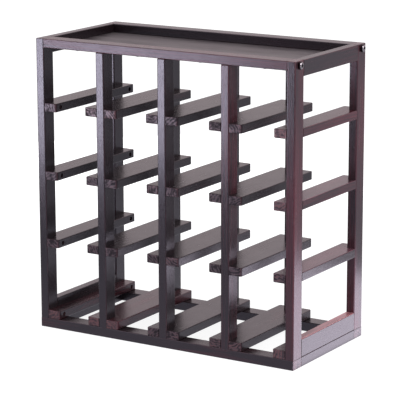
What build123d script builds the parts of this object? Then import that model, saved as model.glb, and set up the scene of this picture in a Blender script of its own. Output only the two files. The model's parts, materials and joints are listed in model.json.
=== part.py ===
from build123d import *
import os

# A slatted bottle rack that stands on the floor or a worktop, with a shallow tray for its top.
# X runs across the front, Y from the front to the back, Z up. Sizes are in millimetres.
# The origin is on the floor, under the middle of the rack.

# Frame
rack_width = 510.0  # over the outer faces of the corner posts
rack_depth = 242.0  # over the front and back faces of the posts
columns = 4
post_width = 16.0
post_depth = 28.5  # also the depth of the top and base rails, cut from the same stock
post_round = 2.0  # radius along the posts' long edges
post_top_round = 1.6  # radius around the posts' upper ends
end_ease = 0.8  # softened ends of the corner posts
rail_ease = 1.2  # radius along the rails' long edges

# Base frame
base_height = 17.0
base_side_width = 28.5

# Slats and the clear heights between them, from the base up
slat_thickness = 15.0
slat_overhang = 24.0  # how far a slat stands out beside its post
slat_corner = 4.0  # radius of the slats' corners seen from above
slat_ease = 1.2  # radius along the slats' upper and lower edges
bottom_row_clear = 114.0
row_clear = 105.25
middle_rows = 2
top_row_clear = 96.0

# Top frame and tray
top_rail_height = 15.5
side_top_rail_height = 27.0
side_bottom_rail_height = 30.5
side_rail_thickness = 16.0
panel_thickness = 3.0
panel_lap = 8.0  # how far the tray panel reaches under the front and back rails
panel_tongue = 4.0  # how far it reaches into the side rails

# Dowels
dowel_radius = 3.0
dowel_length = 24.0
dowel_short_reach = 9.5  # the part of a dowel that sits in a post, a top rail or a base rail
dowel_spacing = 15.0  # between the two dowels of one rail end
dowel_chamfer = 0.8

# Connector bolts and their barrel nuts
bolt_radius = 3.0
bolt_head_radius = 6.5
bolt_head_height = 5.0
bolt_head_chamfer = 0.8
bolt_socket_radius = 2.9  # over the corners of the hexagon
bolt_socket_depth = 3.0
bolt_past_nut = 8.0
nut_radius = 5.0
nut_length = 11.0
nut_from_rail_end = 32.0

# Slat screws, sunk in pockets and driven sideways into the posts
slat_screw_radius = 2.0
slat_screw_head_radius = 3.5
slat_screw_head_height = 3.0
slat_screw_length = 25.0
slat_pocket_depth = 10.0

# Base screws, driven up into the posts
base_screw_radius = 2.25
base_screw_head_radius = 4.5
base_screw_head_height = 3.5
base_screw_length = 38.0
base_pocket_depth = 6.0
base_screw_from_face = 7.0  # from the post's outer face in Y, clear of the slat screws

# Panel screws, driven up into the top rails
panel_screw_radius = 1.5
panel_screw_head_radius = 3.0
panel_screw_head_height = 2.0
panel_screw_length = 11.0

# Clearances
notch_gap = 0.2  # between a slat and the post it hugs
panel_gap = 0.3  # around the tray panel
bolt_gap = 0.2  # around a bolt's shank and a barrel nut
head_gap = 0.3  # around a sunk screw head
tight_gap = 0.05  # around a dowel or a driven screw
hole_end_gap = 0.5  # past the end of a dowel, bolt or screw
tip_share = 0.8  # length of a screw's point over its diameter

# Places worked out from the sizes above
half_width = rack_width / 2
half_depth = rack_depth / 2
pitch = (rack_width - post_width) / columns
divider_x = [pitch * (k - columns / 2) for k in range(1, columns)]
end_post_x = half_width - post_width / 2
post_x = [-end_post_x, *divider_x, end_post_x]
post_mid_y = half_depth - post_depth / 2
inner_end_x = half_width - post_width

row_pitch = slat_thickness + row_clear
second_row_z = base_height + slat_thickness + bottom_row_clear
slat_z = [base_height] + [second_row_z + k * row_pitch for k in range(middle_rows + 1)]
top_rail_z = slat_z[-1] + slat_thickness + top_row_clear
rack_height = top_rail_z + top_rail_height
side_top_rail_z = rack_height - side_top_rail_height
bolt_z = top_rail_z + top_rail_height / 2
panel_z = top_rail_z - panel_thickness
base_screw_y = half_depth - base_screw_from_face
panel_screw_y = half_depth - post_depth + panel_lap / 2
panel_screw_x = [pitch * (k - (columns - 1) / 2) for k in range(columns)]

dowel_long_reach = dowel_length - dowel_short_reach
side_rail_mid_x = half_width - side_rail_thickness / 2
base_side_mid_x = half_width - base_side_width / 2
side_rail_length = rack_depth - 2 * post_depth
base_side_length = rack_depth - 2 * post_depth
top_rail_length = rack_width - 2 * post_width
bolt_length = post_width + nut_from_rail_end + bolt_past_nut

ends = {"left": -1, "right": 1}
faces = {"front": -1, "back": 1}

os.makedirs("parts", exist_ok=True)


def save(piece, label):
    """Names a finished piece and writes it as one STEP file."""
    piece.part.label = label
    export_step(piece.part, f"parts/{label}.step")


def drill(mouths, outward, radius, depth):
    """Blind round holes: each starts at its mouth and runs against the outward direction."""
    with Locations(*[Plane(origin=mouth, z_dir=outward) for mouth in mouths]):
        Hole(radius=radius, depth=depth + hole_end_gap)


def dowel_heights(rail_z, rail_height):
    """The heights of the two dowels in the end of an upright rail."""
    middle = rail_z + rail_height / 2
    return [middle - dowel_spacing / 2, middle + dowel_spacing / 2]


side_dowel_z = [
    *dowel_heights(base_height, side_bottom_rail_height),
    *dowel_heights(side_top_rail_z, side_top_rail_height),
]
base_dowel_x = [base_side_mid_x - dowel_spacing / 2, base_side_mid_x + dowel_spacing / 2]
slat_screw_z = [z + slat_thickness / 2 for z in slat_z]
screw_in_post = slat_screw_length - (slat_overhang - slat_pocket_depth)
screw_in_foot = base_screw_length - (base_height - base_pocket_depth)


def corner_post(side, face):
    """A full-height post at one corner, with holes for its bolt, dowels and screws."""
    x, y = side * end_post_x, face * post_mid_y
    with BuildPart() as post:
        with BuildSketch(Plane.XY.offset(base_height)):
            with Locations((x, y)):
                RectangleRounded(post_width, post_depth, post_round)
        extrude(amount=rack_height - base_height)
        chamfer(post.faces().sort_by(Axis.Z)[-1].edges(), end_ease)
        drill([(side * half_width, y, bolt_z)], (side, 0, 0), bolt_radius + bolt_gap, post_width)
        inner_y = face * (half_depth - post_depth)
        dowel_mouths = [(side * side_rail_mid_x, inner_y, z) for z in side_dowel_z]
        drill(dowel_mouths, (0, -face, 0), dowel_radius + tight_gap, dowel_short_reach)
        screw_mouths = [(side * inner_end_x, y, z) for z in slat_screw_z]
        drill(screw_mouths, (-side, 0, 0), slat_screw_radius + tight_gap, screw_in_post)
        foot = [(x, face * base_screw_y, base_height)]
        drill(foot, (0, 0, -1), base_screw_radius + tight_gap, screw_in_foot)
    return post


def divider_post(x, face):
    """A post between the base and the top rail, which carries the slats on both its sides."""
    y = face * post_mid_y
    with BuildPart() as post:
        with BuildSketch(Plane.XY.offset(base_height)):
            with Locations((x, y)):
                RectangleRounded(post_width, post_depth, post_round)
        extrude(amount=top_rail_z - base_height)
        fillet(post.faces().sort_by(Axis.Z)[-1].edges(), post_top_round)
        drill([(x, y, top_rail_z)], (0, 0, 1), dowel_radius + tight_gap, dowel_long_reach)
        screw_mouths = [(x - post_width / 2, y, z) for z in slat_screw_z]
        drill(screw_mouths, (-1, 0, 0), slat_screw_radius + tight_gap, screw_in_post)
        foot = [(x, face * base_screw_y, base_height)]
        drill(foot, (0, 0, -1), base_screw_radius + tight_gap, screw_in_foot)
    return post


def slat(low_x, high_x, bottom_z, cuts, screw_side):
    """A plank from front to back with rounded corners, cut out around its posts.

    cuts holds (x, y, width, depth) of each cut. The screw pockets open on screw_side, -1 or 1 in X.
    """
    with BuildPart() as plank:
        with BuildSketch(Plane.XY.offset(bottom_z)):
            with Locations(((low_x + high_x) / 2, 0)):
                RectangleRounded(high_x - low_x, rack_depth, slat_corner)
        extrude(amount=slat_thickness)
        flat_faces = plank.faces().filter_by(Axis.Z)
        fillet(flat_faces.edges(), slat_ease)
        with BuildSketch(Plane.XY.offset(bottom_z)):
            for x, y, width, depth in cuts:
                with Locations((x, y)):
                    Rectangle(width, depth)
        extrude(amount=slat_thickness, mode=Mode.SUBTRACT)
        mouth_x = high_x if screw_side > 0 else low_x
        mid_z = bottom_z + slat_thickness / 2
        mouths = [(mouth_x, face * post_mid_y, mid_z) for face in faces.values()]
        with Locations(*[Plane(origin=mouth, z_dir=(screw_side, 0, 0)) for mouth in mouths]):
            CounterBoreHole(
                radius=slat_screw_radius + tight_gap,
                counter_bore_radius=slat_screw_head_radius + head_gap,
                counter_bore_depth=slat_pocket_depth,
                depth=slat_overhang + notch_gap,
            )
    return plank


def post_cuts(x):
    """The two notches that let a slat pass around a front and a back post standing at x."""
    width = post_width + 2 * notch_gap
    depth = post_depth + notch_gap
    return [(x, face * (half_depth - depth / 2), width, depth) for face in faces.values()]


def side_rail(side, bottom_z, height, grooved):
    """An upright rail between the two posts of an end frame; the upper one holds the tray panel."""
    with BuildPart() as rail:
        with BuildSketch(Plane.XZ.offset(-side_rail_length / 2)):
            with Locations((side * side_rail_mid_x, bottom_z + height / 2)):
                RectangleRounded(side_rail_thickness, height, rail_ease)
        extrude(amount=side_rail_length)
        for face in faces.values():
            end_y = face * side_rail_length / 2
            mouths = [(side * side_rail_mid_x, end_y, z) for z in dowel_heights(bottom_z, height)]
            drill(mouths, (0, face, 0), dowel_radius + tight_gap, dowel_long_reach)
        if grooved:
            inner_x = half_width - side_rail_thickness
            groove_depth = panel_tongue + hole_end_gap
            with BuildSketch(Plane.XZ.offset(-side_rail_length / 2)):
                with Locations((side * (inner_x + groove_depth / 2), panel_z + panel_thickness / 2)):
                    Rectangle(groove_depth, panel_thickness + 2 * panel_gap)
            extrude(amount=side_rail_length, mode=Mode.SUBTRACT)
    return rail


def top_rail(face):
    """The front or back rail of the top frame, bolted through the corner posts at both ends."""
    y = face * post_mid_y
    with BuildPart() as rail:
        with BuildSketch(Plane.YZ.offset(-top_rail_length / 2)):
            with Locations((y, bolt_z)):
                RectangleRounded(post_depth, top_rail_height, rail_ease)
        extrude(amount=top_rail_length)
        for side in ends.values():
            end_x = side * top_rail_length / 2
            in_rail = nut_from_rail_end + bolt_past_nut
            drill([(end_x, y, bolt_z)], (side, 0, 0), bolt_radius + bolt_gap, in_rail)
            nut_mouth = (end_x - side * nut_from_rail_end, y, top_rail_z)
            drill([nut_mouth], (0, 0, -1), nut_radius + bolt_gap, (top_rail_height + nut_length) / 2)
        dowel_mouths = [(x, y, top_rail_z) for x in divider_x]
        drill(dowel_mouths, (0, 0, -1), dowel_radius + tight_gap, dowel_short_reach)
        screw_mouths = [(x, face * panel_screw_y, top_rail_z) for x in panel_screw_x]
        screw_in_rail = panel_screw_length - panel_thickness
        drill(screw_mouths, (0, 0, -1), panel_screw_radius + tight_gap, screw_in_rail)
    return rail


def base_rail(face):
    """The front or back rail of the base, as wide as the rack, with pockets for the base screws."""
    y = face * post_mid_y
    with BuildPart() as rail:
        with BuildSketch(Plane.YZ.offset(-half_width)):
            with Locations((y, base_height / 2)):
                RectangleRounded(post_depth, base_height, rail_ease)
        extrude(amount=rack_width)
        chamfer(rail.faces().filter_by(Axis.X).edges(), end_ease)
        inner_y = face * (half_depth - post_depth)
        for side in ends.values():
            mouths = [(side * x, inner_y, base_height / 2) for x in base_dowel_x]
            drill(mouths, (0, -face, 0), dowel_radius + tight_gap, dowel_short_reach)
        with Locations(*[Plane(origin=(x, face * base_screw_y, 0), z_dir=(0, 0, -1)) for x in post_x]):
            CounterBoreHole(
                radius=base_screw_radius + tight_gap,
                counter_bore_radius=base_screw_head_radius + head_gap,
                counter_bore_depth=base_pocket_depth,
                depth=base_height,
            )
    return rail


def base_side(side):
    """A short rail that closes one end of the base frame."""
    with BuildPart() as rail:
        with BuildSketch(Plane.XZ.offset(-base_side_length / 2)):
            with Locations((side * base_side_mid_x, base_height / 2)):
                RectangleRounded(base_side_width, base_height, rail_ease)
        extrude(amount=base_side_length)
        for face in faces.values():
            end_y = face * base_side_length / 2
            mouths = [(side * x, end_y, base_height / 2) for x in base_dowel_x]
            drill(mouths, (0, face, 0), dowel_radius + tight_gap, dowel_long_reach)
    return rail


def screw(radius, length, head_radius, head_height):
    """A pointed wood screw: its head stands on the XY plane and its shank points down."""
    tip = tip_share * 2 * radius
    with BuildPart() as pin:
        with BuildSketch(Plane.XZ):
            with BuildLine():
                Polyline(
                    (0, head_height),
                    (head_radius, head_height),
                    (head_radius, 0),
                    (radius, 0),
                    (radius, tip - length),
                    (0, -length),
                    close=True,
                )
            make_face()
        revolve(axis=Axis.Z)
    return pin


def group(pattern, planes):
    """Copies of one fastener, each on its own plane, as separate solids."""
    with BuildPart() as copies:
        with Locations(*planes):
            add(pattern.part)
    return copies


# Upright posts
for side_name, side in ends.items():
    for face_name, face in faces.items():
        save(corner_post(side, face), f"{face_name}_{side_name}_post")
for number, x in enumerate(divider_x, start=1):
    for face_name, face in faces.items():
        save(divider_post(x, face), f"{face_name}_divider_post_{number}")

# Slats that straddle the divider posts, with their screws driven from the left
for row, z in enumerate(slat_z, start=1):
    for number, x in enumerate(divider_x, start=1):
        reach = post_width / 2 + slat_overhang
        save(slat(x - reach, x + reach, z, post_cuts(x), -1), f"divider_slat_row{row}_{number}")

# Slats at the two ends: flush with the outer faces of the posts, and on the base only their inner half
for side_name, side in ends.items():
    edges_x = sorted([side * half_width, side * (inner_end_x - slat_overhang)])
    end_cuts = post_cuts(side * end_post_x)
    for row, z in enumerate(slat_z[1:], start=2):
        save(slat(*edges_x, z, end_cuts, -side), f"{side_name}_end_slat_row{row}")
    strip_width = max(post_width, side_rail_thickness) + notch_gap
    strip_x = side * (half_width - strip_width / 2)
    strip = [(strip_x, 0, strip_width, rack_depth)]
    save(slat(*edges_x, base_height, strip, -side), f"{side_name}_half_slat")

# Rails of the end frames, the top frame and the base
for side_name, side in ends.items():
    lower = side_rail(side, base_height, side_bottom_rail_height, grooved=False)
    save(lower, f"{side_name}_bottom_rail")
    upper = side_rail(side, side_top_rail_z, side_top_rail_height, grooved=True)
    save(upper, f"{side_name}_top_rail")
    save(base_side(side), f"{side_name}_base_rail")
for face_name, face in faces.items():
    save(top_rail(face), f"{face_name}_top_rail")
    save(base_rail(face), f"{face_name}_base_rail")

# Tray panel: tongues in the side rails, laps under the front and back rails, notches around the posts
tray_width = rack_width - 2 * max(post_width, side_rail_thickness)
tray_depth = rack_depth - 2 * post_depth
with BuildPart() as tray_panel:
    with BuildSketch(Plane.XY.offset(panel_z)):
        Rectangle(tray_width + 2 * panel_tongue, side_rail_length - 2 * panel_gap)
        Rectangle(top_rail_length - 2 * panel_gap, tray_depth + 2 * panel_lap)
        for face in faces.values():
            with Locations(*[(x, face * post_mid_y) for x in divider_x]):
                Rectangle(post_width + 2 * panel_gap, post_depth + 2 * panel_gap, mode=Mode.SUBTRACT)
    extrude(amount=panel_thickness)
    for face in faces.values():
        screw_mouths = [(x, face * panel_screw_y, panel_z) for x in panel_screw_x]
        drill(screw_mouths, (0, 0, -1), panel_screw_radius + tight_gap, panel_thickness)
save(tray_panel, "tray_panel")

# Connector bolts, with a chamfered head and a hexagon socket, seated on the corner posts
with BuildPart() as connector_bolt:
    with BuildSketch(Plane.XZ):
        with BuildLine():
            Polyline(
                (0, bolt_head_height),
                (bolt_head_radius - bolt_head_chamfer, bolt_head_height),
                (bolt_head_radius, bolt_head_height - bolt_head_chamfer),
                (bolt_head_radius, 0),
                (bolt_radius, 0),
                (bolt_radius, -bolt_length),
                (0, -bolt_length),
                close=True,
            )
        make_face()
    revolve(axis=Axis.Z)
    with BuildSketch(Plane.XY.offset(bolt_head_height)):
        RegularPolygon(bolt_socket_radius, 6)
    extrude(amount=-bolt_socket_depth, mode=Mode.SUBTRACT)
bolt_seats = [
    Plane(origin=(side * half_width, face * post_mid_y, bolt_z), z_dir=(side, 0, 0))
    for side in ends.values()
    for face in faces.values()
]
save(group(connector_bolt, bolt_seats), "connector_bolts")

# Barrel nuts, upright in the top rails, each crossed by its bolt
with BuildPart() as barrel_nut:
    Cylinder(nut_radius, nut_length)
    with Locations(Plane.YZ.offset(nut_radius)):
        Hole(bolt_radius + tight_gap, 2 * nut_radius)
nut_x = top_rail_length / 2 - nut_from_rail_end
nut_seats = [
    Plane(origin=(side * nut_x, face * post_mid_y, bolt_z))
    for side in ends.values()
    for face in faces.values()
]
save(group(barrel_nut, nut_seats), "barrel_nuts")

# Slat screws, all with their heads at the bottom of a pocket
slat_screw = screw(slat_screw_radius, slat_screw_length, slat_screw_head_radius, slat_screw_head_height)
seat_from_post = slat_overhang - slat_pocket_depth
slat_seats = []
for z in slat_screw_z:
    for face in faces.values():
        y = face * post_mid_y
        for x in divider_x:
            seat_x = x - post_width / 2 - seat_from_post
            slat_seats.append(Plane(origin=(seat_x, y, z), z_dir=(-1, 0, 0)))
        for side in ends.values():
            seat_x = side * (inner_end_x - seat_from_post)
            slat_seats.append(Plane(origin=(seat_x, y, z), z_dir=(-side, 0, 0)))
save(group(slat_screw, slat_seats), "slat_screws")

# Base screws, one under each post
base_screw = screw(base_screw_radius, base_screw_length, base_screw_head_radius, base_screw_head_height)
base_seats = [
    Plane(origin=(x, face * base_screw_y, base_pocket_depth), z_dir=(0, 0, -1))
    for face in faces.values()
    for x in post_x
]
save(group(base_screw, base_seats), "base_screws")

# Panel screws, one in each bay under the front and back rails
panel_screw = screw(panel_screw_radius, panel_screw_length, panel_screw_head_radius, panel_screw_head_height)
panel_seats = [
    Plane(origin=(x, face * panel_screw_y, panel_z), z_dir=(0, 0, -1))
    for face in faces.values()
    for x in panel_screw_x
]
save(group(panel_screw, panel_seats), "panel_screws")

# Dowels: each stands on the XY plane with its short reach below and its long reach above
with BuildPart() as dowel:
    with BuildSketch(Plane.XY.offset(-dowel_short_reach)):
        Circle(dowel_radius)
    extrude(amount=dowel_length)
    chamfer(dowel.edges().filter_by(GeomType.CIRCLE), dowel_chamfer)

side_planes = [
    Plane(origin=(side * side_rail_mid_x, face * (half_depth - post_depth), z), z_dir=(0, -face, 0))
    for side in ends.values()
    for face in faces.values()
    for z in side_dowel_z
]
save(group(dowel, side_planes), "end_frame_dowels")
base_planes = [
    Plane(origin=(side * x, face * (half_depth - post_depth), base_height / 2), z_dir=(0, -face, 0))
    for side in ends.values()
    for face in faces.values()
    for x in base_dowel_x
]
save(group(dowel, base_planes), "base_dowels")
divider_planes = [
    Plane(origin=(x, face * post_mid_y, top_rail_z), z_dir=(0, 0, -1))
    for face in faces.values()
    for x in divider_x
]
save(group(dowel, divider_planes), "divider_dowels")
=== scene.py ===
"""Looks of the slatted rack: stained and lacquered boards, steel fasteners, floor, light and camera."""

import json
import math

import bpy
import numpy as np
from mathutils import Euler, Matrix, Vector


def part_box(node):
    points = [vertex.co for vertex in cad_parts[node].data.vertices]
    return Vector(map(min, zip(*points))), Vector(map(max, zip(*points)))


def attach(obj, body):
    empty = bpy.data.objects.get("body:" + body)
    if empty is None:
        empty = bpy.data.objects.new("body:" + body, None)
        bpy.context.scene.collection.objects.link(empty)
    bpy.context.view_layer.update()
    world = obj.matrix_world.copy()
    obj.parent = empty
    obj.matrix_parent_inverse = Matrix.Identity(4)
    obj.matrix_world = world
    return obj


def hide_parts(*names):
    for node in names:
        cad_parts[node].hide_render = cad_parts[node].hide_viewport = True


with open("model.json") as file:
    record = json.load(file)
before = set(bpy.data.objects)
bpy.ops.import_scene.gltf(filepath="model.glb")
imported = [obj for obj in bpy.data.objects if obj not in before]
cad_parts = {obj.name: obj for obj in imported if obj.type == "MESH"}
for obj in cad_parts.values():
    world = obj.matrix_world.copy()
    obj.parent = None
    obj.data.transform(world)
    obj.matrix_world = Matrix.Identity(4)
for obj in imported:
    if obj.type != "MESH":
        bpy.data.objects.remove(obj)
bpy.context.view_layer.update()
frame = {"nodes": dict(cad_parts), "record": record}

# Camera, as the photograph stands: metres, degrees, millimetres of sensor, and pixels of a square picture
PICTURE_SIDE = 400
FOCAL_PIXELS = 2080.8
SENSOR_WIDTH = 36.0
CAMERA_PLACE = (1.853, -2.9759, 1.0329)
CAMERA_AZIMUTH = 31.902
CAMERA_PITCH = 12.826
CAMERA_ROLL = -0.146
CAMERA_REACH = 200.0

# Linear colours of the stain, the lacquer's gloss, the bare wood and the metals
STAIN_DARK = (0.0080, 0.0066, 0.0080, 1)
STAIN_MIDDLE = (0.018, 0.0100, 0.0125, 1)
STAIN_RED = (0.115, 0.020, 0.031, 1)
PORE_STAIN = (0.004, 0.0035, 0.004, 1)
END_DARK = (0.010, 0.007, 0.009, 1)
END_PALE = (0.092, 0.060, 0.071, 1)
END_RED = (0.170, 0.075, 0.080, 1)
WORN_STAIN = (0.120, 0.040, 0.046, 1)
# A rubbed top, lightened far past the stain as a painted highlight where the light falls on it
RUBBED_TOP_AND_HIGHLIGHT = (0.560, 0.230, 0.260, 1)
# Pale grey on the tray's top, a painted sheen of the light it reflects
PAINTED_TOP_SHEEN_GREY = (0.112, 0.100, 0.102, 1)
# Rosy tops of two end slats, a painted sheen of the pink light they reflect
ROSY_TOP_SHEEN = (0.145, 0.060, 0.082, 1)
GLOSS_TINT = (0.90, 0.85, 1.0, 1)
BARE_DARK = (0.42, 0.26, 0.14, 1)
BARE_PALE = (0.62, 0.43, 0.26, 1)
STEEL_PALE = (0.42, 0.40, 0.42, 1)
STEEL_DARK = (0.26, 0.25, 0.27, 1)
# Near black on the sides of the bolt heads, a painted shade
SIDE_PAINTED_SHADE = (0.016, 0.012, 0.015, 1)
ZINC_PALE = (0.62, 0.62, 0.64, 1)
ZINC_DARK = (0.36, 0.36, 0.39, 1)

# Colour along the shade of a stained side, a stained end and bare wood
SIDE_STOPS = ((0.2, STAIN_DARK), (0.46, STAIN_MIDDLE), (0.82, STAIN_RED))
END_STOPS = ((0.0, END_DARK), (0.7, END_PALE), (1.0, END_RED))
BARE_STOPS = ((0.3, BARE_DARK), (0.7, BARE_PALE))

# Yearly rings, in metres: their width, the pith's distance from a board's middle, and how far they bend
RING_WIDTH = 0.0048
PITH_NEAR = 0.026
PITH_FAR = 0.075
RING_BEND_REACH = 0.022
RING_STRAY = 2.2  # rings
FAINTEST_RING = 0.3  # share of a full one
BOARD_SEED = 463
TONE_SPREAD = 0.06

# Noise: its stretch on each axis, the third along the grain of a board, then its detail and roughness
RING_BEND = ((22, 22, 3.5), 2.0, 0.5)
RING_UNEVEN = ((75, 75, 1.2), 2.0, 0.5)
RING_WEIGHT = ((48, 48, 1.0), 2.0, 0.5)
FIBRE = ((620, 620, 11), 4.0, 0.6)
PORES = ((2300, 2300, 150), 1.0, 0.5)
MOTTLE = ((26, 26, 4.5), 3.0, 0.5)
BLOTCH = ((150, 150, 14), 4.0, 0.65)
EDGE_PATCHES = ((38, 38, 38), 4.0, 0.6)
SMUDGES = ((31, 31, 31), 4.0, 0.6)
ORANGE_PEEL = ((420, 420, 420), 1.0, 0.5)
PATINA = ((260, 260, 260), 5.0, 0.65)
SCRATCHES = ((3000, 3000, 3000), 2.0, 0.5)

# Smooth steps: where each leaves 0 and where it comes to 1
RING_RISE = (0.25, 0.86)
RING_FALL = (0.9, 1.0)
RING_SHOWN = (0.36, 0.62)
PORE_CUT = (0.63, 0.72)
BLOTCH_CUT = (0.36, 0.64)
STREAK_CUT = (0.15, 0.75)
EDGE_LEAN = (0.015, 0.2)
PATCH_CUT = (0.32, 0.6)
END_LEAN = (0.6, 0.9)
UPPER_LEAN = (0.3, 0.8)
PALE_CUT = (0.2, 0.6)
PATINA_CUT = (0.35, 0.7)

# Weights of the figure in a board's shade, end grain, roughness and relief
LATE_SHADE = -0.11
MOTTLE_SHADE = 0.5
FIBRE_SHADE = 0.3
PORE_DEPTH = 0.7
LATE_OPEN = 0.7
BLOTCH_OPEN = 0.5
TONE_SHADE = 2.0
STREAK_SHADE = 0.8
PLAIN_DULL = 0.11
SMUDGE_DULL = 0.08
MOTTLE_DULL = 0.08
FIBRE_DULL = 0.12
SOAKED_DULL = 0.52
STREAK_POLISH = -0.50
FIBRE_RELIEF = 0.35
PORE_RELIEF = -0.5
STREAK_RELIEF = 1.2
PEEL_RELIEF = 0.5
BARE_MOTTLE_SHADE = 0.4
BARE_FIBRE_SHADE = 0.6
BARE_DULL = 0.5
BARE_FIBRE_DULL = 0.2
WOOD_BUMP = {"Strength": 0.25, "Distance": 0.0003}
DOWEL_BUMP = {"Strength": 0.3, "Distance": 0.0002}
METAL_BUMP = {"Strength": 0.1, "Distance": 0.0001}

# Boards that differ: redder stain, worn edges, full gloss on a slat, duller sides or top, or a top painted
# with a sheen or highlight of its own
RED_BOARDS = {
    "front_right_post": 0.22,
    "back_right_post": 0.14,
    "front_base_rail": 0.06,
    "front_divider_post_3": 0.2,
    "front_divider_post_2": 0.08,
    "front_top_rail": 0.2,
    "right_top_rail": 0.08,
    "right_end_slat_row3": 0.2,
    "right_end_slat_row4": 0.2,
    "left_half_slat": 0.26,
    "divider_slat_row1_1": 0.28,
    "right_half_slat": 0.2,
}
PLAIN_WORN = 0.24
WORN_BOARDS = {"right_top_rail": 0.8, "front_right_post": 0.5, "right_end_slat_row4": 0.5}
LACQUER_IOR = 1.5
BOARD_GLOSS = 0.5
SLAT_GLOSS = 0.41
GLOSSY_SLATS = {
    "right_end_slat_row2",
    "right_end_slat_row3",
    "right_end_slat_row4",
    "right_half_slat",
    "divider_slat_row2_3",
}
DULL_SIDES = {"front_top_rail": 0.1}
DULL_TOPS = {"tray_panel": 0.2}
# Tops painted with a colour of their own, standing in for the sheen or highlight that light gives them
PAINTED_SHEEN_TOPS = {
    "right_bottom_rail": RUBBED_TOP_AND_HIGHLIGHT,
    "tray_panel": PAINTED_TOP_SHEEN_GREY,
    "right_end_slat_row2": ROSY_TOP_SHEEN,
    "right_end_slat_row3": ROSY_TOP_SHEEN,
}

# Floor: its size in metres, its paint, and how bright the camera and the gloss of the boards see it
FLOOR_HALF_SIDE = 30.0
FLOOR_PAINT = (0.4, 0.4, 0.41, 1)
FLOOR_SHADOW = (0.3, 0.3, 0.3, 1)
NEAR_TO_FAR = (0.35, 1.1)
# Near the rack the floor glows dimmer to the camera, a painted pool of shade
FLOOR_GLOW_IN_PAINTED_SHADE = 0.9
FLOOR_WHITE_FAR = 1.0
FLOOR_MIRRORED_NEAR = 0.95
FLOOR_MIRRORED_FAR = 0.66
FLOOR_TINT = (0.94, 0.92, 1.0, 1)

# Pane in the floor, for the gloss alone: its middle and half sides in metres, and the width of its soft edge
PANE_MIDDLE = (0.486, 0.17, 0.0)
PANE_HALF = (0.23, 0.32)
PANE_EDGE = 0.01

# Room: how bright it is for the fill and for the gloss, which sees it low, high and through the pane
FILL_LEVEL = 0.45
FILL_TINT = (0.97, 0.96, 1.0, 1)
ROOM_MIRRORED_LOW = 0.66
ROOM_MIRRORED_HIGH = 1.0
ROOM_TINT = (1.0, 0.87, 0.90, 1)
LOW_TO_HIGH = (0.13, 0.30)
PANE_GLOW = 3.15
PANE_TINT = (0.96, 0.88, 1.0, 1)
BELOW_HORIZON = (0.0, 0.06)
GLOW_FADE = (0.35, 0.6)
WHITE = (1, 1, 1, 1)

# Lamps, in metres and radians. A beam is the half angle that a grid leaves. Two don't show in any gloss
LAMPS = {
    "front_left_softbox": {
        "place": (-0.73, -1.04, 0.31),
        "aim": (-0.06, -0.14, 0.58),
        "size": (0.56, 0.42),
        "radiance": 16.5,
        "colour": (0.93, 0.92, 1.0),
        "beam": math.radians(26),
    },
    "upper_left_softbox": {
        "place": (-0.75, -1.1, 1.0),
        "aim": (0.0, -0.12, 0.31),
        "size": (0.6, 0.8),
        "radiance": 2.0,
        "colour": (0.95, 0.94, 1.0),
    },
    "right_softbox": {
        "place": (1.45, -0.25, 0.56),
        "aim": (0.25, 0.0, 0.28),
        "size": (1.1, 1.0),
        "radiance": 5.2,
        "colour": (1.0, 0.98, 0.98),
        "in_gloss": False,
    },
    "back_left_softbox": {
        "place": (-1.2, 1.2, 0.5),
        "aim": (0.0, 0.0, 0.28),
        "size": (1.1, 1.0),
        "radiance": 4.5,
        "colour": (1.0, 0.98, 0.98),
        "in_gloss": False,
    },
    "glint_softbox": {
        "place": (1.6, 0.1, 1.35),
        "aim": (0.26, 0.0, 0.5),
        "size": (0.6, 0.6),
        "radiance": 15.0,
        "colour": (1.0, 0.97, 1.0),
    },
    "top_softbox": {
        "place": (0.2, 0.2, 2.3),
        "aim": (0.0, 0.0, 0.3),
        "size": (1.6, 1.6),
        "radiance": 0.7,
        "colour": (1.0, 0.98, 0.97),
    },
}

# Connector bolts, in metres
BOLT_RADIUS = 0.003
BOLT_HEAD_RADIUS = 0.0065
BOLT_HEAD_HEIGHT = 0.005
BOLT_LENGTH = 0.056
BOLT_SOCKET_HALF = 0.0025
BOLT_SOCKET_DEPTH = 0.003
BOLT_DOME = 0.0026
BOLT_EASE = 0.0002
BOLT_NECK = 0.018
BOLT_PITCH = 0.001
BOLT_POINT = 0.001
BOLT_CORE = 0.8  # share of the thread's outer radius
SOCKET_FLOOR_SHARE = 0.9

# Wood screws: sizes and places in metres, and shares of the head, the shank or the thread
SLAT_SCREW = {"head_radius": 0.0035, "head_height": 0.003, "shank_radius": 0.002, "length": 0.025}
BASE_SCREW = {"head_radius": 0.0045, "head_height": 0.0035, "shank_radius": 0.00225, "length": 0.038}
PANEL_SCREW = {"head_radius": 0.003, "head_height": 0.002, "shank_radius": 0.0015, "length": 0.011}
SLAT_POCKET = 0.010
BASE_POCKET = 0.006
BASE_SCREW_INSET = 0.007
SCREW_PITCH_SHARE = 1.0
SCREW_POINT_SHARE = 1.6
SCREW_CORE = 0.62
RECESS_SHARE = 0.62
RECESS_LEAN = math.radians(15)
RECESS_FLOOR = 0.3
RECESS_SLOPE = 0.1
RECESS_MIDDLE = 0.5
DOME_SHARE = 0.45
DOME_START = 0.12  # radians past the recess
HEAD_SIDE = 0.1
HEAD_SEAT = 0.96

# How finely the fasteners are drawn
BOLT_COLUMNS = 36
SCREW_COLUMNS = 24
DOME_ROWS = 9
RIM_ROWS = 6
THREAD_ROWS = 6
RIDGE_POWER = 1.5
SHARP_ANGLE = math.radians(40)

# Turns that bring grain along X, Y or Z to the Z axis of a board's own coordinates
TURN_TO_Z = ((0, -math.pi / 2, 0), (math.pi / 2, 0, 0), (0, 0, 0))

# Sides of the rack, by the words in the names of its nodes
ENDS = {"left": -1, "right": 1}
FACES = {"front": -1, "back": 1}

slots = {part["node"]: part["material_slot"] for part in frame["record"]["subparts"]}


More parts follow.
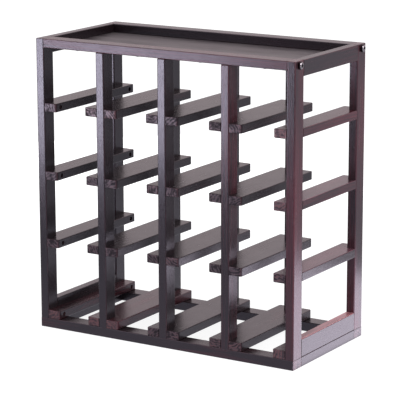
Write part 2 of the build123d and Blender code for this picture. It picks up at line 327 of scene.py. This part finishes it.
class Graph:
    """The nodes of one material or group. A source is a socket to link, or a plain value to set."""

    def __init__(self, tree):
        self.tree = tree

    def feed(self, socket, source):
        if isinstance(source, bpy.types.NodeSocket):
            self.tree.links.new(source, socket)
        else:
            socket.default_value = source

    def node(self, kind, sources=(), **settings):
        made = self.tree.nodes.new(kind)
        for name, value in settings.items():
            setattr(made, name, value)
        for place, source in dict(sources).items():
            self.feed(made.inputs[place], source)
        return made

    def math(self, operation, *sources):
        return self.node("ShaderNodeMath", enumerate(sources), operation=operation).outputs[0]

    def vector(self, operation, *sources, output="Vector"):
        made = self.node("ShaderNodeVectorMath", enumerate(sources), operation=operation)
        return made.outputs[output]

    def weigh(self, start, *terms):
        """The start plus each trait times its weight."""
        total = start
        for trait, weight in terms:
            total = self.math("MULTIPLY_ADD", trait, weight, total)
        return total

    def between(self, factor, low, high):
        """A value that goes from one plain number to another as the factor goes from 0 to 1."""
        return self.math("MULTIPLY_ADD", factor, high - low, low)

    def noise(self, vector, stretch, detail, roughness):
        stretched = self.vector("MULTIPLY", vector, stretch)
        sources = {"Vector": stretched, "Scale": 1.0, "Detail": detail, "Roughness": roughness}
        return self.node("ShaderNodeTexNoise", sources).outputs["Fac"]

    def step(self, value, low, high):
        sources = {"Value": value, "From Min": low, "From Max": high}
        return self.node("ShaderNodeMapRange", sources, interpolation_type="SMOOTHSTEP").outputs["Result"]

    def ramp(self, factor, stops):
        made = self.node("ShaderNodeValToRGB", {"Fac": factor})
        elements = made.color_ramp.elements
        while len(elements) < len(stops):
            elements.new(1.0)
        for element, (place, colour) in zip(elements, stops):
            element.position = place
            element.color = colour
        return made.outputs["Color"]

    def mix(self, factor, first, second):
        made = self.node("ShaderNodeMix", {0: factor, 6: first, 7: second}, data_type="RGBA")
        return made.outputs[2]

    def mix_value(self, factor, first, second):
        return self.node("ShaderNodeMix", {0: factor, 2: first, 3: second}).outputs[0]

    def mix_shader(self, factor, first, second):
        return self.node("ShaderNodeMixShader", {0: factor, 1: first, 2: second}).outputs[0]

    def add_shader(self, first, second):
        return self.node("ShaderNodeAddShader", {0: first, 1: second}).outputs[0]

    def bump(self, settings, height):
        return self.node("ShaderNodeBump", {**settings, "Height": height}).outputs["Normal"]

    def normal_along(self, axis):
        """How far the surface's normal leans along an axis, from -1 to 1."""
        normal = self.node("ShaderNodeNewGeometry").outputs["Normal"]
        return self.vector("DOT_PRODUCT", normal, axis, output="Value")

    def place(self, tree, sources):
        """A node group in this tree, with its inputs fed by name. Returns its outputs."""
        made = self.tree.nodes.new("ShaderNodeGroup")
        made.node_tree = tree
        for name, source in sources.items():
            self.feed(made.inputs[name], source)
        return made.outputs


def new_group(name, inputs, outputs):
    """An empty shader node group with named sockets: its graph, what it is given and what it puts out."""
    tree = bpy.data.node_groups.new(name, "ShaderNodeTree")
    for label, kind in inputs.items():
        tree.interface.new_socket(label, in_out="INPUT", socket_type=f"NodeSocket{kind}")
    for label, kind in outputs.items():
        tree.interface.new_socket(label, in_out="OUTPUT", socket_type=f"NodeSocket{kind}")
    given = tree.nodes.new("NodeGroupInput").outputs
    result = tree.nodes.new("NodeGroupOutput").inputs
    return Graph(tree), given, result


def make_growth_rings():
    """Late wood of the yearly rings: the distance from the pith, bent by slow noise, counted in rings."""
    graph, given, result = new_group("growth_rings", {"Board": "Vector"}, {"Late Wood": "Float"})
    board = given["Board"]
    across = graph.vector("MULTIPLY", board, (1, 1, 0))
    radius = graph.vector("LENGTH", across, output="Value")
    bent = graph.weigh(radius, (graph.noise(board, *RING_BEND), RING_BEND_REACH))
    rings = graph.math("DIVIDE", bent, RING_WIDTH)
    part = graph.math("FRACT", graph.weigh(rings, (graph.noise(board, *RING_UNEVEN), RING_STRAY)))
    late = graph.math("SUBTRACT", graph.step(part, *RING_RISE), graph.step(part, *RING_FALL))
    shown = graph.step(graph.noise(board, *RING_WEIGHT), *RING_SHOWN)
    graph.feed(result["Late Wood"], graph.math("MULTIPLY", late, graph.between(shown, FAINTEST_RING, 1.0)))
    return graph.tree


def make_wood_fibre():
    """Fibre, short pores, slow mottling and close blotches: noise drawn out along the grain."""
    outputs = dict.fromkeys(("Fibre", "Pores", "Mottle", "Blotch"), "Float")
    graph, given, result = new_group("wood_fibre", {"Board": "Vector"}, outputs)
    board = given["Board"]
    graph.feed(result["Fibre"], graph.noise(board, *FIBRE))
    graph.feed(result["Pores"], graph.step(graph.noise(board, *PORES), *PORE_CUT))
    graph.feed(result["Mottle"], graph.noise(board, *MOTTLE))
    graph.feed(result["Blotch"], graph.step(graph.noise(board, *BLOTCH), *BLOTCH_CUT))
    return graph.tree


def make_worn_edges():
    """Rounded edges, where the normal leans away from all three axes, broken up by noise."""
    graph, given, result = new_group("worn_edges", {"Position": "Vector"}, {"Mask": "Float"})
    normal = graph.node("ShaderNodeNewGeometry").outputs["Normal"]
    parts = graph.node("ShaderNodeSeparateXYZ", {"Vector": graph.vector("ABSOLUTE", normal)}).outputs
    largest = graph.math("MAXIMUM", graph.math("MAXIMUM", parts[0], parts[1]), parts[2])
    lean = graph.step(graph.math("SUBTRACT", 1.0, largest), *EDGE_LEAN)
    patches = graph.step(graph.noise(given["Position"], *EDGE_PATCHES), *PATCH_CUT)
    graph.feed(result["Mask"], graph.math("MULTIPLY", lean, patches))
    return graph.tree


def make_end_faces():
    """Faces that lie across an axis, from the normal and the axis."""
    graph, given, result = new_group("end_faces", {"Axis": "Vector"}, {"Mask": "Float"})
    along = graph.math("ABSOLUTE", graph.normal_along(given["Axis"]))
    graph.feed(result["Mask"], graph.step(along, *END_LEAN))
    return graph.tree


def make_upper_faces():
    """Faces that look up, from the normal."""
    graph, _, result = new_group("upper_faces", {}, {"Mask": "Float"})
    graph.feed(result["Mask"], graph.step(graph.normal_along((0, 0, 1)), *UPPER_LEAN))
    return graph.tree


def make_lacquer():
    """A sprayed film: slow smudges in its gloss and a faint orange peel in its surface."""
    outputs = dict.fromkeys(("Smudge", "Peel"), "Float")
    graph, given, result = new_group("lacquer", {"Position": "Vector"}, outputs)
    graph.feed(result["Smudge"], graph.noise(given["Position"], *SMUDGES))
    graph.feed(result["Peel"], graph.noise(given["Position"], *ORANGE_PEEL))
    return graph.tree


growth_rings = make_growth_rings()
wood_fibre = make_wood_fibre()
worn_edges = make_worn_edges()
end_faces = make_end_faces()
upper_faces = make_upper_faces()
lacquer = make_lacquer()


def make_stained_board():
    """Colour, roughness and relief of a stained board: figure, end grain, worn edges and a painted top sheen
    in turn.
    """
    vectors = ("Position", "Board", "Grain")
    values = ("Tone", "Worn", "Dull Sides", "Dull Top", "Soaked", "Painted Top Sheen")
    inputs = {**dict.fromkeys(vectors, "Vector"), **dict.fromkeys(values, "Float"), "Painted Sheen Color": "Color"}
    outputs = {"Color": "Color", "Roughness": "Float", "Relief": "Float"}
    graph, given, result = new_group("stained_board", inputs, outputs)
    late = graph.place(growth_rings, {"Board": given["Board"]})["Late Wood"]
    figure = graph.place(wood_fibre, {"Board": given["Board"]})
    end = graph.place(end_faces, {"Axis": given["Grain"]})["Mask"]
    upper = graph.place(upper_faces, {})["Mask"]
    worn = graph.place(worn_edges, {"Position": given["Position"]})["Mask"]
    film = graph.place(lacquer, {"Position": given["Position"]})

    shade = graph.weigh(
        given["Tone"],
        (late, LATE_SHADE),
        (figure["Mottle"], MOTTLE_SHADE),
        (figure["Fibre"], FIBRE_SHADE),
    )
    pores = graph.math("MULTIPLY", figure["Pores"], PORE_DEPTH)
    side = graph.mix(pores, graph.ramp(shade, SIDE_STOPS), PORE_STAIN)
    open_grain = graph.weigh(0.0, (figure["Blotch"], BLOTCH_OPEN), (late, LATE_OPEN))
    streak = graph.step(open_grain, *STREAK_CUT)
    cut = graph.weigh(0.0, (streak, STREAK_SHADE), (given["Tone"], TONE_SHADE))
    colour = graph.mix(end, side, graph.ramp(cut, END_STOPS))
    colour = graph.mix(graph.math("MULTIPLY", worn, given["Worn"]), colour, WORN_STAIN)
    # On those tops, painted sheen in patches that follow the mottle
    painted_top_sheen = graph.math("MULTIPLY", upper, given["Painted Top Sheen"])
    painted_top_sheen = graph.math("MULTIPLY", painted_top_sheen, graph.step(figure["Mottle"], *PALE_CUT))
    graph.feed(result["Color"], graph.mix(painted_top_sheen, colour, given["Painted Sheen Color"]))

    soaked = graph.math("MULTIPLY", graph.weigh(SOAKED_DULL, (streak, STREAK_POLISH)), given["Soaked"])
    rough = graph.weigh(
        PLAIN_DULL,
        (given["Dull Sides"], graph.math("SUBTRACT", 1.0, upper)),
        (given["Dull Top"], upper),
        (film["Smudge"], SMUDGE_DULL),
        (figure["Mottle"], MOTTLE_DULL),
        (figure["Fibre"], FIBRE_DULL),
        (end, soaked),
    )
    graph.feed(result["Roughness"], rough)

    relief = graph.weigh(
        0.0,
        (figure["Fibre"], FIBRE_RELIEF),
        (figure["Pores"], PORE_RELIEF),
        (graph.math("MULTIPLY", streak, end), STREAK_RELIEF),
        (film["Peel"], PEEL_RELIEF),
    )
    graph.feed(result["Relief"], relief)
    return graph.tree


stained_board = make_stained_board()


def empty_material(name):
    """A material with an empty tree, and its graph."""
    material = bpy.data.materials.new(name)
    material.use_nodes = True
    material.node_tree.nodes.clear()
    return material, Graph(material.node_tree)


def new_material(name):
    """A material for a piece, its graph, the sockets of its Principled shader and the Object coordinates."""
    material, graph = empty_material(name)
    shader = graph.node("ShaderNodeBsdfPrincipled")
    graph.node("ShaderNodeOutputMaterial", {"Surface": shader.outputs["BSDF"]})
    position = graph.node("ShaderNodeTexCoord").outputs["Object"]
    return material, graph, shader.inputs, position


def stained_wood(node, random):
    """Stained wood for one board: grain along its longest side, rings about a pith beside it."""
    low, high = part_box(node)
    axis = int(np.argmax(np.array(high) - np.array(low)))
    grain = np.eye(3)[axis]
    angle, reach, tone = random.uniform((0, PITH_NEAR, -TONE_SPREAD), (2 * math.pi, PITH_FAR, TONE_SPREAD))
    turn = Euler(TURN_TO_Z[axis])
    centre = turn.to_matrix() @ ((low + high) / 2)
    pith = centre + Vector((reach * math.cos(angle), reach * math.sin(angle), 0))
    is_slat = slots[node] == "slat_wood"

    material, graph, shader, position = new_material(f"stained_{node}")
    from_pith = {"Vector": position, "Location": -pith, "Rotation": turn}
    figure = graph.place(stained_board, {
        "Position": position,
        "Board": graph.node("ShaderNodeMapping", from_pith).outputs["Vector"],
        "Grain": grain.tolist(),
        "Tone": tone + RED_BOARDS.get(node, 0.0),
        "Worn": WORN_BOARDS.get(node, PLAIN_WORN),
        "Dull Sides": DULL_SIDES.get(node, 0.0),
        "Dull Top": DULL_TOPS.get(node, 0.0),
        "Painted Top Sheen": float(node in PAINTED_SHEEN_TOPS),
        "Painted Sheen Color": PAINTED_SHEEN_TOPS.get(node, STAIN_DARK),
        "Soaked": float(is_slat),
    })
    graph.feed(shader["Base Color"], figure["Color"])
    graph.feed(shader["Roughness"], figure["Roughness"])
    graph.feed(shader["Normal"], graph.bump(WOOD_BUMP, figure["Relief"]))
    thin_film = is_slat and node not in GLOSSY_SLATS
    shader["Specular IOR Level"].default_value = SLAT_GLOSS if thin_film else BOARD_GLOSS
    shader["Specular Tint"].default_value = GLOSS_TINT
    shader["IOR"].default_value = LACQUER_IOR
    return material


def bare_wood():
    """Unstained hardwood of the dowels."""
    material, graph, shader, position = new_material("bare_dowel_wood")
    figure = graph.place(wood_fibre, {"Board": position})
    shade = graph.weigh(0.0, (figure["Mottle"], BARE_MOTTLE_SHADE), (figure["Fibre"], BARE_FIBRE_SHADE))
    graph.feed(shader["Base Color"], graph.ramp(shade, BARE_STOPS))
    graph.feed(shader["Roughness"], graph.weigh(BARE_DULL, (figure["Fibre"], BARE_FIBRE_DULL)))
    graph.feed(shader["Normal"], graph.bump(DOWEL_BUMP, figure["Fibre"]))
    return material


def metal(name, pale, dark, side, rough_low, rough_span):
    """Plated steel: a slow patina in its colour and gloss, fine scratches, and sides of another colour, on
    the bolts a near-black painted shade.
    """
    material, graph, shader, position = new_material(name)
    patina = graph.noise(position, *PATINA)
    worn = graph.place(worn_edges, {"Position": position})["Mask"]
    colour = graph.mix(graph.step(patina, *PATINA_CUT), pale, dark)
    # Faces across X keep the steel's colour, the rest take the side colour: on the bolts a painted shade
    face = graph.place(end_faces, {"Axis": (1, 0, 0)})["Mask"]
    graph.feed(shader["Base Color"], graph.mix(face, side, graph.mix(worn, colour, pale)))
    graph.feed(shader["Roughness"], graph.weigh(rough_low, (patina, rough_span)))
    graph.feed(shader["Normal"], graph.bump(METAL_BUMP, graph.noise(position, *SCRATCHES)))
    shader["Metallic"].default_value = 1.0
    return material


def dress(piece, material):
    """Gives a piece its one material."""
    piece.data.materials.clear()
    piece.data.materials.append(material)


bolt_steel = metal("bolt_steel", STEEL_PALE, STEEL_DARK, SIDE_PAINTED_SHADE, rough_low=0.12, rough_span=0.16)
zinc_steel = metal("zinc_plated_steel", ZINC_PALE, ZINC_DARK, ZINC_PALE, rough_low=0.28, rough_span=0.2)
plain_finishes = {"dowel_wood": bare_wood(), "bolt_steel": bolt_steel, "plated_steel": zinc_steel}
board_random = np.random.default_rng(BOARD_SEED)
for node in sorted(slots):
    finish = plain_finishes.get(slots[node]) or stained_wood(node, board_random)
    dress(frame["nodes"][node], finish)


def turned_copies(name, radius, height, seats, outward):
    """Copies of a turned piece, as one object.

    A point at row i and column j is (radius cos a, radius sin a, height), where a goes round once over the
    columns. Rows follow the profile from the pole inside the head to the pole at the tip. Each copy has its
    axis along its outward direction and its zero height at its seat.
    """
    rows, columns = radius.shape
    angle = np.linspace(0, 2 * math.pi, columns, endpoint=False)
    grid = np.stack((radius * np.cos(angle), radius * np.sin(angle), height), axis=-1)
    local = np.concatenate((grid[0, :1], grid[1:-1].reshape(-1, 3), grid[-1, :1]))
    ring = np.arange((rows - 2) * columns).reshape(rows - 2, columns) + 1
    after = np.roll(ring, -1, axis=1)
    first = np.zeros(columns, int)
    last = np.full(columns, len(local) - 1)
    quads = np.stack((ring[:-1], ring[1:], after[1:], after[:-1]), axis=-1).reshape(-1, 4)
    fans = np.concatenate((
        np.stack((first, ring[0], after[0]), axis=-1),
        np.stack((ring[-1], last, after[-1]), axis=-1),
    ))

    seats, outward = np.array(seats), np.array(outward, float)
    upright = outward[:, 2:] != 0
    aside = np.where(upright, (1.0, 0.0, 0.0), (0.0, 0.0, 1.0))
    across = np.cross(aside, outward)
    axes = np.stack((across, np.cross(outward, across), outward), axis=1)
    points = seats[:, None] + np.einsum("pk,nkc->npc", local, axes)
    shift = len(local) * np.arange(len(seats))[:, None, None]
    polygons = (fans + shift).reshape(-1, 3).tolist() + (quads + shift).reshape(-1, 4).tolist()

    mesh = bpy.data.meshes.new(name)
    mesh.from_pydata(points.reshape(-1, 3).tolist(), [], polygons)
    mesh.polygons.foreach_set("use_smooth", np.ones(len(polygons), bool))
    mesh.set_sharp_from_angle(angle=SHARP_ANGLE)
    piece = bpy.data.objects.new(name, mesh)
    bpy.context.scene.collection.objects.link(piece)
    return piece


def profile(*rows):
    """Radius and height arrays of a turned piece, from rows of single values or of values for each column."""
    columns = max(np.size(value) for row in rows for value in row)
    table = np.array([[np.broadcast_to(value, columns) for value in row] for row in rows])
    return table[:, 0], table[:, 1]


def thread(columns, top, tip, reach, pitch, core_share, point):
    """A thread from top down to its tip: a ridge that climbs one pitch a turn, on a core, ending in a point.

    The ridge is a triangle wave of height over pitch less angle over a full turn, hollowed by a power. Its
    crest keeps to reach, and core and crest shrink evenly to nothing over the length of the point.
    """
    rows = round((top - tip) / pitch * THREAD_ROWS)
    height = np.linspace(top, tip, rows)[:, None] * np.ones(columns)
    turn = np.linspace(0, 1, columns, endpoint=False)
    ridge = 1 - np.abs(2 * np.mod(height / pitch - turn, 1) - 1)
    ridge *= np.clip((top - height) / pitch, 0, 1)
    taper = np.clip((height - tip) / point, 0, 1)
    return reach * taper * (core_share + (1 - core_share) * ridge**RIDGE_POWER), height


def bolt_shape():
    """A connector bolt: hexagon socket in a domed head, plain neck and fine thread.

    The socket's radius is its half width over the cosine of the angle from the middle of the nearest flat.
    The dome is a quarter ellipse from the socket's mouth to the side of the head.
    """
    angle = np.linspace(0, 2 * math.pi, BOLT_COLUMNS, endpoint=False)
    from_flat = np.mod(angle, math.pi / 3) - math.pi / 6
    socket = BOLT_SOCKET_HALF / np.cos(from_flat)
    mouth = socket.max() + BOLT_EASE
    floor = BOLT_HEAD_HEIGHT - BOLT_SOCKET_DEPTH
    bend = np.linspace(0, math.pi / 2, DOME_ROWS)
    dome_radius = mouth + (BOLT_HEAD_RADIUS - mouth) * np.sin(bend)
    dome_height = BOLT_HEAD_HEIGHT - BOLT_DOME * (1 - np.cos(bend))
    radius, height = profile(
        (0.0, floor - BOLT_EASE),
        (SOCKET_FLOOR_SHARE * socket, floor),
        (socket, floor + BOLT_EASE),
        (socket, BOLT_HEAD_HEIGHT - 2 * BOLT_EASE),
        *zip(dome_radius, dome_height),
        (BOLT_HEAD_RADIUS, BOLT_EASE),
        (BOLT_HEAD_RADIUS - BOLT_EASE, 0.0),
        (BOLT_RADIUS, 0.0),
        (BOLT_RADIUS, -BOLT_NECK),
    )
    cut, fall = thread(BOLT_COLUMNS, -BOLT_NECK, -BOLT_LENGTH, BOLT_RADIUS, BOLT_PITCH, BOLT_CORE, BOLT_POINT)
    return np.concatenate((radius, cut)), np.concatenate((height, fall))


def screw_shape(head_radius, head_height, shank_radius, length):
    """A wood screw: cross recess in a domed head, and a coarse thread down to its point.

    The recess is a plus sign: its radius is the arm's length over the cosine near an arm's axis, and the
    arm's half width over the sine between two arms. The dome is a quarter ellipse.
    """
    angle = np.linspace(0, 2 * math.pi, SCREW_COLUMNS, endpoint=False)
    lean = np.abs(np.mod(angle + math.pi / 4, math.pi / 2) - math.pi / 4)
    arm = RECESS_SHARE * head_radius
    half = arm * math.tan(RECESS_LEAN)
    cross = np.minimum(arm / np.cos(lean), half / np.maximum(np.sin(lean), math.sin(RECESS_LEAN) / 2))
    brow = DOME_SHARE * head_height

    def dome(r):
        return brow + (head_height - brow) * np.sqrt(1 - (r / head_radius) ** 2)

    bend = np.linspace(math.asin(RECESS_SHARE) + DOME_START, math.pi / 2, RIM_ROWS)
    ring = head_radius * np.sin(bend)
    radius, height = profile(
        (0.0, head_height * RECESS_FLOOR),
        (RECESS_MIDDLE * cross, head_height * (RECESS_FLOOR + RECESS_SLOPE)),
        (cross, dome(cross)),
        *zip(ring, dome(ring)),
        (head_radius, HEAD_SIDE * head_height),
        (HEAD_SEAT * head_radius, 0.0),
        (shank_radius, 0.0),
    )
    pitch = SCREW_PITCH_SHARE * shank_radius
    point = SCREW_POINT_SHARE * shank_radius
    cut, fall = thread(SCREW_COLUMNS, -pitch, -length, shank_radius, pitch, SCREW_CORE, point)
    return np.concatenate((radius, cut)), np.concatenate((height, fall))


def middle(node):
    """The middle of a node's box."""
    low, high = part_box(node)
    return np.array((low + high) / 2)


def outer(node, axis, side):
    """Where a node's box ends on one side, -1 or 1, of an axis."""
    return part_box(node)[(side + 1) // 2][axis]


def nodes_of(slot):
    """The names of the nodes with one material slot, in order."""
    return [node for node in sorted(slots) if slots[node] == slot]


def fasten(node, finish, shape, seats, outward):
    """Puts finely made copies of a fastener in the place of a plain node."""
    piece = turned_copies(f"detailed_{node}", *shape, seats, outward)
    dress(piece, finish)
    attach(piece, "root")
    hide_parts(node)
    return piece


def fit_connector_bolts():
    """Bolts through the corner posts into the ends of the top rails, with their heads outside."""
    seats = []
    outward = []
    for face in FACES:
        for end, side in ENDS.items():
            post = f"{face}_{end}_post"
            seats.append((outer(post, 0, side), middle(post)[1], middle(f"{face}_top_rail")[2]))
            outward.append((side, 0, 0))
    return fasten("connector_bolts", bolt_steel, bolt_shape(), seats, outward)


def fit_slat_screws():
    """A screw in each end of every slat, at the bottom of its pocket."""
    seats = []
    outward = []
    for slat in nodes_of("slat_wood"):
        side = 1 if slat.startswith("left") else -1
        for face in FACES:
            y = middle(f"{face}_left_post")[1]
            seats.append((outer(slat, 0, side) - side * SLAT_POCKET, y, middle(slat)[2]))
            outward.append((side, 0, 0))
    fasten("slat_screws", zinc_steel, screw_shape(**SLAT_SCREW), seats, outward)


def fit_base_screws():
    """A screw up into the foot of every post, sunk in the base."""
    seats = []
    for post in nodes_of("post_wood"):
        side = FACES[post.split("_")[0]]
        seats.append((middle(post)[0], outer(post, 1, side) - side * BASE_SCREW_INSET, BASE_POCKET))
    outward = [(0, 0, -1)] * len(seats)
    fasten("base_screws", zinc_steel, screw_shape(**BASE_SCREW), seats, outward)


def fit_panel_screws():
    """Short screws up through the tray panel into the rails, one in the middle of each bay."""
    seats = []
    for face, side in FACES.items():
        row = sorted(middle(post)[0] for post in nodes_of("post_wood") if post.startswith(face))
        y = (outer("tray_panel", 1, side) + outer(f"{face}_top_rail", 1, -side)) / 2
        for left, right in zip(row, row[1:]):
            seats.append(((left + right) / 2, y, outer("tray_panel", 2, -1)))
    outward = [(0, 0, -1)] * len(seats)
    fasten("panel_screws", zinc_steel, screw_shape(**PANEL_SCREW), seats, outward)


bolts = fit_connector_bolts()
fit_slat_screws()
fit_base_screws()
fit_panel_screws()


def pale_floor():
    """A square floor that is white to the camera and keeps a faint shadow. Near the rack its glow is dimmer,
    a painted pool of shade.

    The gloss sees it shine by itself, brighter near the rack, with a clear pane at the right through which it
    sees the room's glow below the horizon.
    """
    corners = FLOOR_HALF_SIDE * np.array([(-1, -1, 0), (1, -1, 0), (1, 1, 0), (-1, 1, 0)])
    mesh = bpy.data.meshes.new("pale_floor")
    mesh.from_pydata(corners.tolist(), [], [(0, 1, 2, 3)])
    floor = bpy.data.objects.new("pale_floor", mesh)
    bpy.context.scene.collection.objects.link(floor)
    material, graph = empty_material("pale_floor")
    rays = graph.node("ShaderNodeLightPath").outputs
    paint = graph.node("ShaderNodeBsdfDiffuse", {"Color": FLOOR_PAINT}).outputs[0]
    place = graph.node("ShaderNodeTexCoord").outputs["Object"]
    far = graph.step(graph.vector("LENGTH", place, output="Value"), *NEAR_TO_FAR)

    level = graph.between(far, FLOOR_MIRRORED_NEAR, FLOOR_MIRRORED_FAR)
    mirrored = graph.node("ShaderNodeEmission", {"Color": FLOOR_TINT, "Strength": level}).outputs[0]
    offset = graph.vector("ABSOLUTE", graph.vector("SUBTRACT", place, PANE_MIDDLE))
    parts = graph.node("ShaderNodeSeparateXYZ", {"Vector": offset}).outputs
    inside = [graph.step(part, half + PANE_EDGE, half - PANE_EDGE) for part, half in zip(parts, PANE_HALF)]
    pane = graph.node("ShaderNodeBsdfTransparent", {"Color": graph.math("MULTIPLY", *inside)}).outputs[0]
    mirrored = graph.add_shader(mirrored, pane)

    # The camera sees the floor's glow dimmer near the rack, a painted pool of shade
    level = graph.between(far, FLOOR_GLOW_IN_PAINTED_SHADE, FLOOR_WHITE_FAR)
    white = graph.node("ShaderNodeEmission", {"Strength": level}).outputs[0]
    faint = graph.node("ShaderNodeBsdfDiffuse", {"Color": FLOOR_SHADOW}).outputs[0]
    shown = graph.mix_shader(rays["Is Glossy Ray"], paint, mirrored)
    shown = graph.mix_shader(rays["Is Camera Ray"], shown, graph.add_shader(white, faint))
    graph.node("ShaderNodeOutputMaterial", {"Surface": shown})
    mesh.materials.append(material)


def white_room():
    """A world that is white to the camera and gives a soft fill from all round.

    The gloss sees it dimmer near the horizon than high up, and a bright glow just below the horizon.
    """
    world = bpy.data.worlds.new("white_room")
    world.use_nodes = True
    world.node_tree.nodes.clear()
    graph = Graph(world.node_tree)
    rays = graph.node("ShaderNodeLightPath").outputs
    way = graph.node("ShaderNodeTexCoord").outputs["Generated"]
    rise = graph.vector("DOT_PRODUCT", way, (0, 0, 1), output="Value")
    fall = graph.math("MULTIPLY", rise, -1.0)
    below = graph.step(fall, *BELOW_HORIZON)
    glow = graph.math("SUBTRACT", below, graph.step(fall, *GLOW_FADE))
    mirrored = graph.between(graph.step(rise, *LOW_TO_HIGH), ROOM_MIRRORED_LOW, ROOM_MIRRORED_HIGH)
    mirrored = graph.math("MULTIPLY", mirrored, graph.math("SUBTRACT", 1.0, below))
    mirrored = graph.weigh(mirrored, (glow, PANE_GLOW))
    strength = graph.mix_value(rays["Is Glossy Ray"], FILL_LEVEL, mirrored)
    strength = graph.math("MAXIMUM", strength, rays["Is Camera Ray"])
    colour = graph.mix(rays["Is Glossy Ray"], FILL_TINT, graph.mix(below, ROOM_TINT, PANE_TINT))
    colour = graph.mix(rays["Is Camera Ray"], colour, WHITE)
    back = graph.node("ShaderNodeBackground", {"Color": colour, "Strength": strength}).outputs[0]
    graph.node("ShaderNodeOutputWorld", {"Surface": back})
    bpy.context.scene.world = world


def softbox(name, place, aim, size, radiance, colour, beam=None, in_gloss=True):
    """A rectangular lamp that faces its aim. Its power is radiance times pi times its area.

    A grid in front of it narrows the beam to a half angle h on each side of its axis. The power is then
    multiplied by 1 - h / tan h, which keeps the radiance along the axis.
    """
    width, height = size
    lamp = bpy.data.lights.new(name, "AREA")
    lamp.shape = "RECTANGLE"
    lamp.size = width
    lamp.size_y = height
    lamp.energy = radiance * math.pi * width * height
    lamp.color = colour
    if beam:
        lamp.spread = 2 * beam
        lamp.energy *= 1 - beam / math.tan(beam)
    stand = bpy.data.objects.new(name, lamp)
    facing = (Vector(aim) - Vector(place)).to_track_quat("-Z", "Y").to_matrix().to_4x4()
    stand.matrix_world = Matrix.Translation(place) @ facing
    stand.visible_camera = False
    stand.visible_glossy = in_gloss
    bpy.context.scene.collection.objects.link(stand)
    return stand


def shine_on_bolts_alone(stand):
    """Links a lamp to the bolts, so that it glints in them and lights nothing else."""
    glint_catchers = bpy.data.collections.new("glint_catchers")
    glint_catchers.objects.link(bolts)
    stand.light_linking.receiver_collection = glint_catchers


def photo_camera():
    """The camera of the photograph: right and up turned by its roll, and looking down its pitch."""
    azimuth, pitch, roll = np.radians((CAMERA_AZIMUTH, CAMERA_PITCH, CAMERA_ROLL))
    level = math.cos(pitch)
    forward = Vector((-math.sin(azimuth) * level, math.cos(azimuth) * level, -math.sin(pitch)))
    right = Vector((math.cos(azimuth), math.sin(azimuth), 0))
    up = right.cross(forward)
    turned_right = math.cos(roll) * right + math.sin(roll) * up
    turned_up = math.cos(roll) * up - math.sin(roll) * right
    lens = bpy.data.cameras.new("photo_camera")
    lens.sensor_width = SENSOR_WIDTH
    lens.lens = FOCAL_PIXELS * SENSOR_WIDTH / PICTURE_SIDE
    lens.clip_end = CAMERA_REACH
    camera = bpy.data.objects.new("photo_camera", lens)
    axes = Matrix((turned_right, turned_up, -forward)).transposed().to_4x4()
    camera.matrix_world = Matrix.Translation(CAMERA_PLACE) @ axes
    bpy.context.scene.collection.objects.link(camera)
    bpy.context.scene.camera = camera


pale_floor()
white_room()
stands = {name: softbox(name, **settings) for name, settings in LAMPS.items()}
shine_on_bolts_alone(stands["glint_softbox"])
photo_camera()
bpy.context.scene.view_settings.view_transform = "Standard"
